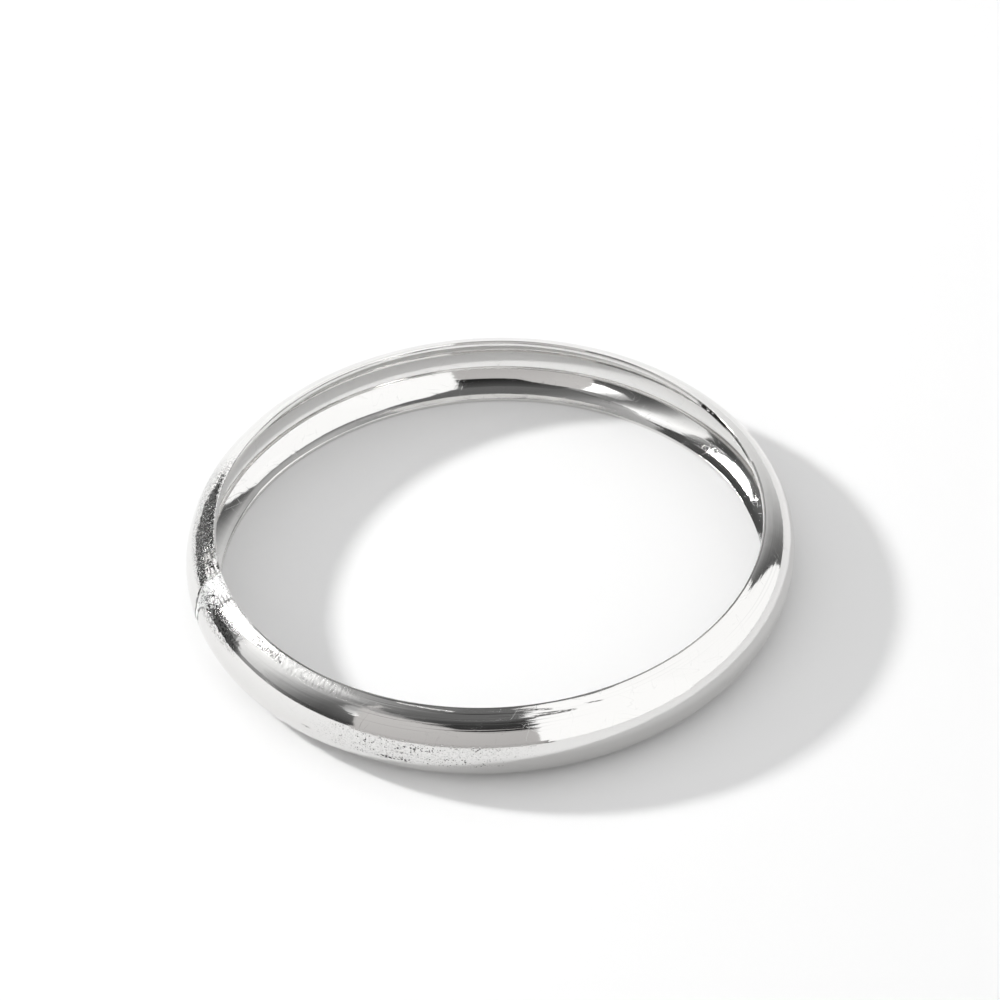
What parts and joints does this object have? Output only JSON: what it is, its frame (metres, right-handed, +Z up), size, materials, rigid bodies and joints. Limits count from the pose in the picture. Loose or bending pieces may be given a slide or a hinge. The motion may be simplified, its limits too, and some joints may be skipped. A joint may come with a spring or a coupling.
{
  "type": "domed bangle bracelet",
  "caption": "Closed bangle of thin polished silver sheet with a hollow half-round section and a rough solder seam, lying flat on its rim.",
  "frame": {"origin": "centre of the ring, on the surface that the lower rim rests on", "axes": "+Z up along the ring's axis, with the solder seam on the -X side"},
  "size_m": [0.0712, 0.071, 0.0098],
  "materials": {
    "polished_silver": "polished, with fine lengthwise polishing lines, small pits and a rough solder seam"
  },
  "bodies": {
    "root": {"bangle": "polished_silver"}
  },
  "joints": []
}
